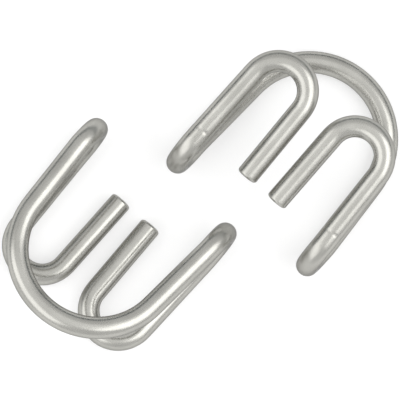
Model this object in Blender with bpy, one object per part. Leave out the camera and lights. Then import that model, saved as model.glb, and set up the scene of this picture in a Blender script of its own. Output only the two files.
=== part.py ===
"""Two-piece bent rod disentanglement puzzle, laid out apart.

Each piece is one steel rod. A wide bow lies in one layer. Both of its legs fold back
past the bow into a second layer, turn inwards round a small hook, and end side by
side in the middle, pointing the way the bow opens. The two layers spread apart
towards the bends, because the folds stop short of a full half turn.

The hooks-down rod lies on its hooks with the bow on top, and opens towards +Y. The
hooks-up rod is turned over, lies on its bow, and opens towards -Y. It sits half a
rod to the side, so that its inner leg points between the other rod's cut ends. All
lengths are in metres, +Z is up, and the origin is on the table in the middle of the
layout.
"""
import math

import bpy
from mathutils import Matrix, Vector

# The rod stock
ROD_DIAMETER = 0.0050
END_CHAMFER = 0.0004

# The bends, on the rod's centreline. One former makes the folds and the hooks.
BOW_RADIUS = 0.0174
BEND_RADIUS = 0.00665
BOW_SPLAY = math.radians(3.6)       # each bow leg leans out, away from the middle
FOLD_ANGLE = math.radians(168.0)
HOOK_SPLAY = math.radians(1.8)      # each leg leans in on its way to the hook
HOOK_ANGLE = math.radians(177.5)

# The straight runs. The legs are bent by hand and differ by about a millimetre. They
# are given as seen from above, looking the way the bow opens.
HOOKS_DOWN_LEGS = {"left": 0.01775, "right": 0.01875}
HOOKS_UP_LEGS = {"left": 0.01675, "right": 0.01815}
HOOK_LEG_EXTRA = 0.0028             # a hook's leg is longer than its bow leg
END_LENGTH = 0.0194                 # from a hook to the cut end

# The layout
SIDE_SHIFT = 0.0092                 # from each rod's middle to the layout's middle

# The fineness of the solids. The rod's section is a polygon around its true circle.
SECTION_SIDES = 12
TURN_PER_POINT = math.radians(9.0)

STEEL_COLOUR = (0.62, 0.61, 0.585, 1.0)
STEEL_ROUGHNESS = 0.28


class Centreline:
    """A rod's centreline, laid down as a bender does it: feed some rod, then bend."""

    def __init__(self):
        self.points = [Vector((0.0, 0.0, 0.0))]
        self.forward = Vector((1.0, 0.0, 0.0))
        self.up = Vector((0.0, 0.0, 1.0))

    def feed(self, length):
        self.points.append(self.points[-1] + self.forward * length)

    def turn(self, angle, radius, axis):
        """Bend about axis, to the left as seen from the axis's tip."""
        centre = self.points[-1] + axis.cross(self.forward) * radius
        arm = self.points[-1] - centre
        steps = math.ceil(angle / TURN_PER_POINT)
        for step in range(1, steps + 1):
            part_way = Matrix.Rotation(angle * step / steps, 3, axis)
            self.points.append(centre + part_way @ arm)
        whole_way = Matrix.Rotation(angle, 3, axis)
        self.forward = whole_way @ self.forward
        self.up = whole_way @ self.up

    def bend(self, angle, radius=BEND_RADIUS):
        """Bend within the layer."""
        self.turn(angle, radius, self.up)

    def fold(self, angle):
        """Bend out of the layer, down into the next one."""
        self.turn(angle, BEND_RADIUS, self.up.cross(self.forward))


def half_rod(leg_length):
    """The centreline from the middle of the bow to the cut end on the +X side."""
    line = Centreline()
    line.bend(math.pi / 2 - BOW_SPLAY, BOW_RADIUS)
    line.feed(leg_length)
    line.bend(BOW_SPLAY)
    line.fold(FOLD_ANGLE)
    line.bend(HOOK_SPLAY)
    line.feed(leg_length + HOOK_LEG_EXTRA)
    line.bend(HOOK_ANGLE)
    line.feed(END_LENGTH - END_CHAMFER)
    line.feed(END_CHAMFER)
    return line.points


def whole_rod(minus_x_leg, plus_x_leg):
    """The centreline from cut end to cut end, with the bow in the plane z = 0."""
    minus_x_half = [Vector((-p.x, p.y, p.z)) for p in half_rod(minus_x_leg)]
    return minus_x_half[:0:-1] + half_rod(plus_x_leg)


def set_down(points, turned):
    """Turn the points, rest the rod on the table and centre its width on X."""
    placed = [turned @ point for point in points]
    middle_x = (min(p.x for p in placed) + max(p.x for p in placed)) / 2
    lowest = min(p.z for p in placed)
    rest = Vector((-middle_x, 0.0, ROD_DIAMETER / 2 - lowest))
    return [point + rest for point in placed]


def moved(points, x, y):
    return [point + Vector((x, y, 0.0)) for point in points]


def lay_out():
    """Both rods' centrelines: fold tips on one line, the whole layout centred."""
    flat_hooks = Matrix.Rotation(FOLD_ANGLE - math.pi, 3, "X")
    hooks_down = set_down(
        whole_rod(HOOKS_DOWN_LEGS["left"], HOOKS_DOWN_LEGS["right"]), flat_hooks)
    turned_over = Matrix.Rotation(math.pi, 3, "X")
    hooks_up = set_down(
        whole_rod(HOOKS_UP_LEGS["right"], HOOKS_UP_LEGS["left"]), turned_over)

    hooks_down_top = max(point.y for point in hooks_down)
    hooks_up_bottom = min(point.y for point in hooks_up)
    hooks_down_length = hooks_down_top - min(point.y for point in hooks_down)
    hooks_up_length = max(point.y for point in hooks_up) - hooks_up_bottom
    meeting_y = (hooks_down_length - hooks_up_length) / 2
    reach = ROD_DIAMETER / 2
    return (
        moved(hooks_down, -SIDE_SHIFT, meeting_y - reach - hooks_down_top),
        moved(hooks_up, SIDE_SHIFT, meeting_y + reach - hooks_up_bottom),
    )


def steel():
    material = bpy.data.materials.new("satin_steel")
    material.use_nodes = True
    shader = material.node_tree.nodes["Principled BSDF"]
    shader.inputs["Base Color"].default_value = STEEL_COLOUR
    shader.inputs["Metallic"].default_value = 1.0
    shader.inputs["Roughness"].default_value = STEEL_ROUGHNESS
    return material


def make_rod(name, points, collection):
    """One closed rod along the points, with a small chamfer round each cut end."""
    curve = bpy.data.curves.new(name, "CURVE")
    curve.dimensions = "3D"
    curve.twist_mode = "MINIMUM"
    curve.bevel_depth = ROD_DIAMETER / 2 / math.cos(math.pi / SECTION_SIDES)
    curve.bevel_resolution = (SECTION_SIDES - 4) // 2
    curve.use_fill_caps = True

    spline = curve.splines.new("POLY")
    spline.points.add(len(points) - 1)
    for spline_point, point in zip(spline.points, points):
        spline_point.co = (*point, 1.0)
        spline_point.tilt = math.pi / SECTION_SIDES
    for tip in (spline.points[0], spline.points[-1]):
        tip.radius = 1.0 - END_CHAMFER / (ROD_DIAMETER / 2)

    curve.materials.append(steel())
    rod = bpy.data.objects.new(name, curve)
    collection.objects.link(rod)
    return rod


def main():
    for old in list(bpy.data.objects):
        bpy.data.objects.remove(old)
    collection = bpy.data.collections.new("bent_rod_puzzle")
    bpy.context.scene.collection.children.link(collection)
    hooks_down, hooks_up = lay_out()
    make_rod("hooks_down_rod", hooks_down, collection)
    make_rod("hooks_up_rod", hooks_up, collection)


main()
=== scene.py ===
"""Looks for the two-piece bent rod puzzle: two satin steel rods on a pale table.

Each CAD rod is replaced by a fine mesh that follows the same bends. It has a true
round section, the flattening that tight bends leave on their outer side, the marks of
the former beside each fold, and cut ends with a dented face and a rounded edge.
Lengths are in metres, in the frame's axes.
"""
import bisect
import math

import bmesh
import bpy
from mathutils import Matrix, Vector, noise


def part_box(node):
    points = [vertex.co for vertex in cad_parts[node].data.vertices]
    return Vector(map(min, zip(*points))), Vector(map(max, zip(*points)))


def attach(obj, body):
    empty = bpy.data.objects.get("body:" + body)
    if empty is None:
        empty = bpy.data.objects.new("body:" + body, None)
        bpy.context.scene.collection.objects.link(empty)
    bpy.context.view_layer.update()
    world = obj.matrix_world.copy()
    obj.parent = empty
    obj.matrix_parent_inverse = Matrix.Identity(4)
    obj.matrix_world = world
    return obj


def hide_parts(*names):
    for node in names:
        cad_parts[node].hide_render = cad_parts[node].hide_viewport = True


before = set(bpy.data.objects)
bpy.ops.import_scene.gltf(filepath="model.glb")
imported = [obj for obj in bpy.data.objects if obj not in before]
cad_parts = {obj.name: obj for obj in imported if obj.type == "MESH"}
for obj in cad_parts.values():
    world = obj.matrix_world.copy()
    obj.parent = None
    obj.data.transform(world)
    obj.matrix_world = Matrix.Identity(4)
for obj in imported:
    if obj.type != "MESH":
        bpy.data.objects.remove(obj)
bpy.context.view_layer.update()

# The rod and its bends, as in the CAD model
ROD_RADIUS = 0.0025
BOW_RADIUS = 0.0174
BEND_RADIUS = 0.00665
BOW_SPLAY = math.radians(3.6)
FOLD_ANGLE = math.radians(168.0)
HOOK_SPLAY = math.radians(1.8)
HOOK_ANGLE = math.radians(177.5)
HOOKS_DOWN_LEGS = {"left": 0.01775, "right": 0.01875}
HOOKS_UP_LEGS = {"left": 0.01675, "right": 0.01815}
HOOK_LEG_EXTRA = 0.0028
END_LENGTH = 0.0194

# How finely the mesh follows it
SECTION_SIDES = 64
STEP = 0.0005
TURN_PER_STEP = math.radians(3.0)
MARK_STEP = 0.0001
EDGE_STEPS = 10
FACE_STEPS = 8

# Bends flatten the rod's outer side. Their pull comes and goes over a short length.
FLATTENING = 0.04
BEND_EASE = 0.0025

# The rod's size wavers slowly along it, and a little differently on each side of it
WAVER = 0.000012
WAVER_LENGTH = 0.009
WAVER_SPREAD = 0.35

# The former's mark on the hook leg, just clear of the fold, patchy round the rod
MARK_DEPTH = 0.00004
MARK_LENGTH = 0.0014
MARK_COVER = 0.7
MARK_PATCHES = 2.0

# A cut end: the rounded edge meets the side at a small angle, in a ragged line. The
# middle of the face is a small flat, and two more rings bring the side back to plain.
EDGE_ROUND = 0.0008
SHOULDER = math.radians(22.0)
BURR = 0.00005
BURR_LENGTH = 0.0004
FACE_DENT = 0.00003
FACE_DENT_LENGTH = 0.0009
FACE_MIDDLE = 0.3
RAGGED_RING = 0.00005
PLAIN_RING = 0.0003
END_CLEARANCE = 0.00096

# What the noise starts from on each rod
HOOKS_DOWN_SEED = 3.0
HOOKS_UP_SEED = 11.0


# --- the camera -------------------------------------------------------------------

CAMERA_AZIMUTH = math.radians(34.13)
CAMERA_ELEVATION = math.radians(83.2)
CAMERA_ROLL = math.radians(6.61)
CAMERA_DISTANCE = 1.553
CAMERA_LENS = 623.0
CAMERA_SENSOR = 36.0
CAMERA_REACH = 20.0
CAMERA_TARGET = Vector((-0.00054, -0.00045, 0.0))


def view_axes():
    """The picture's right, its up, and the way back to the camera."""
    back = Vector((
        math.sin(CAMERA_AZIMUTH) * math.cos(CAMERA_ELEVATION),
        -math.cos(CAMERA_AZIMUTH) * math.cos(CAMERA_ELEVATION),
        math.sin(CAMERA_ELEVATION),
    ))
    level = Vector((math.cos(CAMERA_AZIMUTH), math.sin(CAMERA_AZIMUTH), 0.0))
    roll = Matrix.Rotation(CAMERA_ROLL, 3, back)
    right = roll @ level
    return right, back.cross(right), back


def add_camera():
    right, up, back = view_axes()
    data = bpy.data.cameras.new("camera")
    data.lens = CAMERA_LENS
    data.sensor_width = CAMERA_SENSOR
    data.clip_end = CAMERA_REACH
    camera = bpy.data.objects.new("camera", data)
    camera.matrix_world = Matrix((right, up, back)).transposed().to_4x4()
    camera.location = CAMERA_TARGET + back * CAMERA_DISTANCE
    bpy.context.scene.collection.objects.link(camera)
    bpy.context.scene.camera = camera


# --- the line of a rod ------------------------------------------------------------

class Station:
    """A place on the rod's centreline, with its own axes and what was done to it."""

    def __init__(self, point, forward, up, inward, bend=0.0, mark=0.0, burr=0.0):
        self.point = point
        self.forward = forward
        self.up = up
        self.inward = inward      # towards the centre of the bend here or last passed
        self.bend = bend          # share of the tightest bend, 0 on a straight
        self.mark = mark          # share of the former mark's full depth
        self.burr = burr          # share of the full raggedness of a cut

    def side(self):
        return self.up.cross(self.forward).normalized()

    def mirrored(self):
        def flip(vector):
            return Vector((-vector.x, vector.y, vector.z))
        return Station(flip(self.point), -flip(self.forward), flip(self.up),
                       flip(self.inward), self.bend, self.mark)

    def placed(self, turn, shift):
        return Station(turn @ self.point + shift, turn @ self.forward, turn @ self.up,
                       turn @ self.inward, self.bend, self.mark)

    def shifted(self, distance, burr):
        """A station on the same straight, at a cut end."""
        return Station(self.point + self.forward * distance, self.forward, self.up,
                       self.inward, burr=burr)


class Bender:
    """Lays down a rod's centreline: feed some rod, then bend it."""

    def __init__(self):
        start = Station(Vector((0, 0, 0)), Vector((1, 0, 0)), Vector((0, 0, 1)),
                        Vector((0, 1, 0)), BEND_RADIUS / BOW_RADIUS)
        self.stations = [start]

    def feed(self, length):
        last = self.stations[-1]
        steps = max(1, math.ceil(length / STEP))
        for step in range(1, steps + 1):
            point = last.point + last.forward * (length * step / steps)
            self.stations.append(Station(point, last.forward, last.up, last.inward))

    def mark(self):
        """Feed the short stretch that the former pressed on."""
        last = self.stations[-1]
        steps = math.ceil(MARK_LENGTH / MARK_STEP)
        for step in range(1, steps + 1):
            share = step / steps
            point = last.point + last.forward * MARK_LENGTH * share
            depth = math.sin(math.pi * share) ** 2
            self.stations.append(
                Station(point, last.forward, last.up, last.inward, mark=depth))

    def turn(self, angle, radius, axis):
        """Bend about axis, to the left as seen from the axis's tip."""
        last = self.stations[-1]
        inward = axis.cross(last.forward)
        centre = last.point + inward * radius
        steps = max(1, math.ceil(angle / TURN_PER_STEP))
        for step in range(1, steps + 1):
            part_way = Matrix.Rotation(angle * step / steps, 3, axis)
            self.stations.append(Station(
                centre - part_way @ inward * radius,
                part_way @ last.forward,
                part_way @ last.up,
                part_way @ inward,
                BEND_RADIUS / radius,
            ))

    def bend(self, angle, radius=BEND_RADIUS):
        """Bend within the layer, to the left."""
        self.turn(angle, radius, self.stations[-1].up)

    def fold(self, angle):
        """Bend out of the layer, down into the next one."""
        last = self.stations[-1]
        self.turn(angle, BEND_RADIUS, last.up.cross(last.forward))


def half_rod(leg_length):
    """Stations from the middle of the bow to the cut end on the +X side."""
    line = Bender()
    line.bend(math.pi / 2 - BOW_SPLAY, BOW_RADIUS)
    line.feed(leg_length)
    line.bend(BOW_SPLAY)
    line.fold(FOLD_ANGLE)
    line.bend(HOOK_SPLAY)
    line.feed(BEND_EASE)
    line.mark()
    line.feed(leg_length + HOOK_LEG_EXTRA - BEND_EASE - MARK_LENGTH)
    line.bend(HOOK_ANGLE)
    line.feed(END_LENGTH)
    return line.stations


def whole_rod(minus_x_leg, plus_x_leg):
    """Stations from cut end to cut end."""
    minus_x_half = [station.mirrored() for station in half_rod(minus_x_leg)]
    return minus_x_half[:0:-1] + half_rod(plus_x_leg)


def fit_to_node(stations, turn, node):
    """Turn the rod as it lies, and put it where its CAD node is."""
    low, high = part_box(node)
    turned = [turn @ station.point for station in stations]
    middle = [(min(p[k] for p in turned) + max(p[k] for p in turned)) / 2 for k in (0, 1)]
    lowest = min(p.z for p in turned)
    shift = Vector((
        (low.x + high.x) / 2 - middle[0],
        (low.y + high.y) / 2 - middle[1],
        ROD_RADIUS - lowest,
    ))
    return [station.placed(turn, shift) for station in stations]


# --- the surface of a rod ---------------------------------------------------------

def lengths_along(stations):
    """How much rod lies behind each station."""
    along = [0.0]
    for before, after in zip(stations, stations[1:]):
        along.append(along[-1] + (after.point - before.point).length)
    return along


def eased_pulls(stations, along):
    """The pull of the bends at each station, averaged over BEND_EASE to each side."""
    pulls = []
    for here in along:
        total = Vector((0, 0, 0))
        weight = 0.0
        first = bisect.bisect_left(along, here - BEND_EASE)
        last = bisect.bisect_right(along, here + BEND_EASE)
        for other in range(max(first, 1), last):
            share = 1.0 - abs(along[other] - here) / BEND_EASE
            share *= along[other] - along[other - 1]
            total += stations[other].inward * (stations[other].bend * share)
            weight += share
        pulls.append(total / weight)
    return pulls


def unit_noise(place):
    """Smooth noise between 0 and 1."""
    return 0.5 + 0.5 * noise.noise(place)


def waver(outward, along, seed):
    """How far the rod is under its full size here."""
    place = Vector((along / WAVER_LENGTH, seed, 0.0)) + outward * WAVER_SPREAD
    return WAVER * (1.0 + noise.noise(place))


def mark_depth(outward, seed):
    """How deep the former's mark is on this side of the rod, in its middle."""
    place = outward * MARK_PATCHES + Vector((seed, 0, 0))
    return MARK_DEPTH * MARK_COVER * (1.0 + noise.noise(place))


def burr_depth(outward, forward, along):
    """How far a cut's ragged edge falls short here."""
    place = outward * ROD_RADIUS + forward * along
    return BURR * unit_noise(place / BURR_LENGTH)


def section(station, pull, along, seed):
    """Each point round the rod here: its direction, its radius and how stretched it is."""
    side = station.side()
    points = []
    for step in range(SECTION_SIDES):
        angle = 2 * math.pi * step / SECTION_SIDES
        outward = side * math.cos(angle) + station.up * math.sin(angle)
        stretched = max(0.0, -outward.dot(pull)) ** 2
        radius = ROD_RADIUS * (1.0 - FLATTENING * stretched)
        radius -= waver(outward, along, seed)
        radius -= station.mark * mark_depth(outward, seed)
        radius -= station.burr * burr_depth(outward, station.forward, along)
        points.append((outward, radius, stretched))
    return points


def end_profile():
    """A cut end from the middle of its face to the side: distance back, inset, burr."""
    profile = []
    face = ROD_RADIUS - EDGE_ROUND
    for step in range(FACE_STEPS):
        inset = ROD_RADIUS - face * (step + FACE_MIDDLE) / FACE_STEPS
        profile.append((0.0, inset, 0.0))
    for step in range(EDGE_STEPS + 1):
        angle = math.pi / 2 + (SHOULDER - math.pi / 2) * step / EDGE_STEPS
        back_off = EDGE_ROUND * (1.0 - math.sin(angle))
        inset = EDGE_ROUND * (math.cos(SHOULDER) - math.cos(angle))
        profile.append((back_off, inset, math.sin(2.0 * angle)))
    shoulder = profile[-1][0]
    profile.append((shoulder + RAGGED_RING, 0.0, 0.5))
    profile.append((shoulder + PLAIN_RING, 0.0, 0.0))
    return profile


class RodMesh:
    """Rings of points along a rod, each joined to the one before."""

    def __init__(self, seed):
        self.seed = seed
        self.mesh = bmesh.new()
        self.grain = self.mesh.verts.layers.float_vector.new("grain")
        self.stretch = self.mesh.verts.layers.float.new("stretch")
        self.rings = []

    def add_ring(self, station, pull, along, inset=0.0):
        """One ring, which also keeps where its points lie in the rod's own length."""
        ring = []
        for outward, radius, stretched in section(station, pull, along, self.seed):
            offset = outward * (radius - inset)
            vertex = self.mesh.verts.new(station.point + offset)
            across = (offset.dot(station.side()), offset.dot(station.up))
            vertex[self.grain] = (along, *across)
            vertex[self.stretch] = stretched
            ring.append(vertex)
        self.rings.append(ring)

    def add_end(self, station, along, sign):
        """A cut end: its dented face, its rounded edge and the ragged shoulder. The sign
        is -1 at the rod's start and 1 at its finish. Nothing pulls on a cut end."""
        no_pull = Vector((0, 0, 0))
        profile = end_profile()
        if sign > 0:
            profile.reverse()
        for back_off, inset, burr in profile:
            place = station.shifted(-sign * back_off, burr)
            self.add_ring(place, no_pull, along - sign * back_off, inset)
            if back_off == 0.0:
                self.dent(self.rings[-1], station.forward * -sign)

    def dent(self, ring, direction):
        for vertex in ring:
            depth = unit_noise(vertex.co / FACE_DENT_LENGTH)
            vertex.co += direction * FACE_DENT * depth

    def finished(self, name):
        """The closed mesh, from the first cut end to the last."""
        for ring, after in zip(self.rings, self.rings[1:]):
            for k in range(SECTION_SIDES):
                m = (k + 1) % SECTION_SIDES
                self.mesh.faces.new((ring[k], ring[m], after[m], after[k]))
        for ring in (self.rings[0], self.rings[-1]):
            self.mesh.faces.new(ring)
        bmesh.ops.recalc_face_normals(self.mesh, faces=self.mesh.faces)
        data = bpy.data.meshes.new(name)
        self.mesh.to_mesh(data)
        self.mesh.free()
        data.shade_smooth()
        return data


def make_rod(name, stations, body, node, seed, material):
    along = lengths_along(stations)
    pulls = eased_pulls(stations, along)
    rod_mesh = RodMesh(seed)
    rod_mesh.add_end(stations[0], 0.0, -1)
    for index, station in enumerate(stations):
        if END_CLEARANCE < along[index] < along[-1] - END_CLEARANCE:
            rod_mesh.add_ring(station, pulls[index], along[index])
    rod_mesh.add_end(stations[-1], along[-1], 1)
    rod = bpy.data.objects.new(name, rod_mesh.finished(name))
    rod.data.materials.append(material)
    bpy.context.scene.collection.objects.link(rod)
    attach(rod, body)
    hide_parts(node)


# --- nodes ------------------------------------------------------------------------

class Tree:
    """The nodes of a material or a world, with a short call for each kind used here."""

    def __init__(self, owner):
        owner.use_nodes = True
        self.nodes = owner.node_tree.nodes
        self.links = owner.node_tree.links

    def feed(self, node, values):
        """Fill a node's inputs, each with a plain value or another node's output."""
        for name, value in values.items():
            if isinstance(value, bpy.types.NodeSocket):
                self.links.new(value, node.inputs[name])
            else:
                node.inputs[name].default_value = value

    def add(self, kind, output, values, **settings):
        node = self.nodes.new(kind)
        for name, setting in settings.items():
            setattr(node, name, setting)
        self.feed(node, values)
        return node.outputs[output]

    def attribute(self, name, output):
        return self.add("ShaderNodeAttribute", output, {}, attribute_name=name)

    def arithmetic(self, operation, *values):
        return self.add("ShaderNodeMath", "Value", dict(enumerate(values)),
                        operation=operation)

    def mapped(self, value, source, target, interpolation="LINEAR"):
        """Carry the values between source's two ends over to target's."""
        ends = {"From Min": source[0], "From Max": source[1],
                "To Min": target[0], "To Max": target[1]}
        return self.add("ShaderNodeMapRange", "Result", {"Value": value, **ends},
                        interpolation_type=interpolation)

    def fade(self, value, source):
        """From 0 to 1, gently, as the value goes from source's first end to its last."""
        return self.mapped(value, source, (0.0, 1.0), "SMOOTHSTEP")

    def mixed(self, factor, first, second):
        return self.add("ShaderNodeMix", "Result",
                        {"Factor": factor, "A": first, "B": second}, data_type="RGBA")


# --- steel ------------------------------------------------------------------------

# A metal's Specular Tint dims what it reflects at a grazing angle, along its rims
STEEL_DARK = (0.40, 0.395, 0.368, 1.0)
STEEL_LIGHT = (0.47, 0.464, 0.434, 1.0)
STEEL_EDGE_TINT = (0.40, 0.40, 0.40, 1.0)
STREAK_ROUGHNESS = (0.20, 0.27)
PIT_ROUGHNESS = (0.0, 0.06)
STRETCHED_ROUGHNESS = 0.08
RELIEF = 0.00001
STREAK_RELIEF = 0.55
PIT_RELIEF = 0.75
NOISE_RANGE = (0.3, 0.7)

# Features per metre along the rod, and across it both ways, and how much finer detail
# each has in it
STREAKS = (700.0, 7000.0, 7000.0)
BLOTCHES = (160.0, 260.0, 260.0)
PITS = (4200.0, 4200.0, 4200.0)
STREAK_DETAIL = 3.0
BLOTCH_DETAIL = 3.0
PIT_DETAIL = 2.0


def grain_noise(tree, features, detail):
    """Noise laid out along the rod's own length."""
    grain = tree.attribute("grain", "Vector")
    place = tree.add("ShaderNodeMapping", "Vector", {"Vector": grain, "Scale": features})
    return tree.add("ShaderNodeTexNoise", "Fac",
                    {"Vector": place, "Scale": 1.0, "Detail": detail})


def steel_colour(tree, blotches):
    share = tree.mapped(blotches, NOISE_RANGE, (0.0, 1.0))
    return tree.mixed(share, STEEL_DARK, STEEL_LIGHT)


def steel_roughness(tree, streaks, pits):
    """Rougher in some streaks and in the pits, and where a bend stretched the steel."""
    worn = tree.arithmetic("ADD", tree.mapped(streaks, NOISE_RANGE, STREAK_ROUGHNESS),
                           tree.mapped(pits, NOISE_RANGE, PIT_ROUGHNESS))
    stretch = tree.attribute("stretch", "Fac")
    return tree.arithmetic("MULTIPLY_ADD", stretch, STRETCHED_ROUGHNESS, worn)


def steel_relief(tree, streaks, pits):
    streaked = tree.add("ShaderNodeBump", "Normal", {
        "Height": streaks, "Strength": STREAK_RELIEF, "Distance": RELIEF})
    return tree.add("ShaderNodeBump", "Normal", {
        "Height": pits, "Strength": PIT_RELIEF, "Distance": RELIEF, "Normal": streaked})


def satin_steel():
    """Drawn steel, tumbled satin: fine streaks along the rod, pits and faint blotches."""
    material = bpy.data.materials.new("satin_steel")
    tree = Tree(material)
    streaks = grain_noise(tree, STREAKS, STREAK_DETAIL)
    blotches = grain_noise(tree, BLOTCHES, BLOTCH_DETAIL)
    pits = grain_noise(tree, PITS, PIT_DETAIL)
    tree.feed(tree.nodes["Principled BSDF"], {
        "Base Color": steel_colour(tree, blotches),
        "Metallic": 1.0,
        "Specular Tint": STEEL_EDGE_TINT,
        "Roughness": steel_roughness(tree, streaks, pits),
        "Normal": steel_relief(tree, streaks, pits),
    })
    return material


# --- the studio -------------------------------------------------------------------

# A softbox's azimuth turns about the picture's middle, from its right. Its tilt is from
# straight above. Its size is across and along the table's side. A mirror facing it shows
# its radiance.
SOFTBOX_DISTANCE = 1.6
SOFTBOXES = {
    "right_softbox": {"azimuth": math.radians(-15), "tilt": math.radians(40),
                      "size": (1.2, 1.9), "radiance": 1.75},
    "left_softbox": {"azimuth": math.radians(200), "tilt": math.radians(50),
                     "size": (1.2, 2.4), "radiance": 1.18},
}

# Heights run from 0, level, to 1, straight up. Far is towards the picture's top.
WALLS = (0.85, 0.85, 0.85, 1.0)
CEILING = (1.18, 1.18, 1.18, 1.0)
CEILING_HEIGHTS = (0.75, 0.95)
DIM_SIDE = (0.03, 0.06, 0.07, 1.0)
DIM_HEIGHTS = (0.32, 0.16)
DIM_FAR = (-0.1, 0.5)

TABLE_SIZE = 6.0
TABLE_COLOUR = (0.50, 0.50, 0.50, 1.0)
TABLE_ROUGHNESS = 0.9
TABLE_SPECULAR = 0.1
TABLE_GLOW_COLOUR = (1.0, 1.0, 1.0, 1.0)
TABLE_GLOW = 0.5


def table_axes():
    """The picture's right and up, laid down on the table."""
    right, up, _ = view_axes()
    return Vector((right.x, right.y, 0)).normalized(), Vector((up.x, up.y, 0)).normalized()


def add_softbox(name, azimuth, tilt, size, radiance):
    to_right, to_top = table_axes()
    outward = to_right * math.cos(azimuth) + to_top * math.sin(azimuth)
    along = Vector((0, 0, 1)).cross(outward)
    direction = Vector((0, 0, 1)) * math.cos(tilt) + outward * math.sin(tilt)
    data = bpy.data.lights.new(name, "AREA")
    data.shape = "RECTANGLE"
    data.size, data.size_y = size
    data.energy = radiance * math.pi * size[0] * size[1]
    light = bpy.data.objects.new(name, data)
    axes = Matrix((along.cross(direction), along, direction)).transposed()
    light.matrix_world = Matrix.Translation(direction * SOFTBOX_DISTANCE) @ axes.to_4x4()
    bpy.context.scene.collection.objects.link(light)


def add_room():
    """A pale room, brightest overhead, and dim low down past the picture's top."""
    world = bpy.data.worlds.new("room")
    bpy.context.scene.world = world
    tree = Tree(world)
    place = tree.add("ShaderNodeTexCoord", "Generated", {})
    height = tree.add("ShaderNodeSeparateXYZ", "Z", {"Vector": place})
    to_top = table_axes()[1]
    far = tree.add("ShaderNodeVectorMath", "Value", {0: place, 1: to_top},
                   operation="DOT_PRODUCT")
    bright = tree.mixed(tree.fade(height, CEILING_HEIGHTS), WALLS, CEILING)
    low_and_far = tree.arithmetic("MULTIPLY", tree.fade(height, DIM_HEIGHTS),
                                  tree.fade(far, DIM_FAR))
    tree.feed(tree.nodes["Background"], {"Color": tree.mixed(low_and_far, bright, DIM_SIDE)})


def add_table():
    """A white table, lit a little from within, as a photographer's light table is."""
    bpy.ops.mesh.primitive_plane_add(size=TABLE_SIZE, location=(0, 0, 0))
    table = bpy.context.object
    table.name = "table"
    material = bpy.data.materials.new("pale_table")
    tree = Tree(material)
    tree.feed(tree.nodes["Principled BSDF"], {
        "Base Color": TABLE_COLOUR,
        "Roughness": TABLE_ROUGHNESS,
        "Specular IOR Level": TABLE_SPECULAR,
        "Emission Color": TABLE_GLOW_COLOUR,
        "Emission Strength": TABLE_GLOW,
    })
    table.data.materials.append(material)


# --- the scene --------------------------------------------------------------------

add_camera()

steel = satin_steel()
hooks_flat = Matrix.Rotation(FOLD_ANGLE - math.pi, 3, "X")
turned_over = Matrix.Rotation(math.pi, 3, "X")
hooks_down = whole_rod(HOOKS_DOWN_LEGS["left"], HOOKS_DOWN_LEGS["right"])
hooks_up = whole_rod(HOOKS_UP_LEGS["right"], HOOKS_UP_LEGS["left"])
hooks_down = fit_to_node(hooks_down, hooks_flat, "hooks_down_rod")
hooks_up = fit_to_node(hooks_up, turned_over, "hooks_up_rod")
make_rod("hooks_down_steel", hooks_down, "hooks_down", "hooks_down_rod",
         HOOKS_DOWN_SEED, steel)
make_rod("hooks_up_steel", hooks_up, "hooks_up", "hooks_up_rod", HOOKS_UP_SEED, steel)

for name, facts in SOFTBOXES.items():
    add_softbox(name, **facts)
add_room()
add_table()
bpy.context.scene.view_settings.view_transform = "Standard"
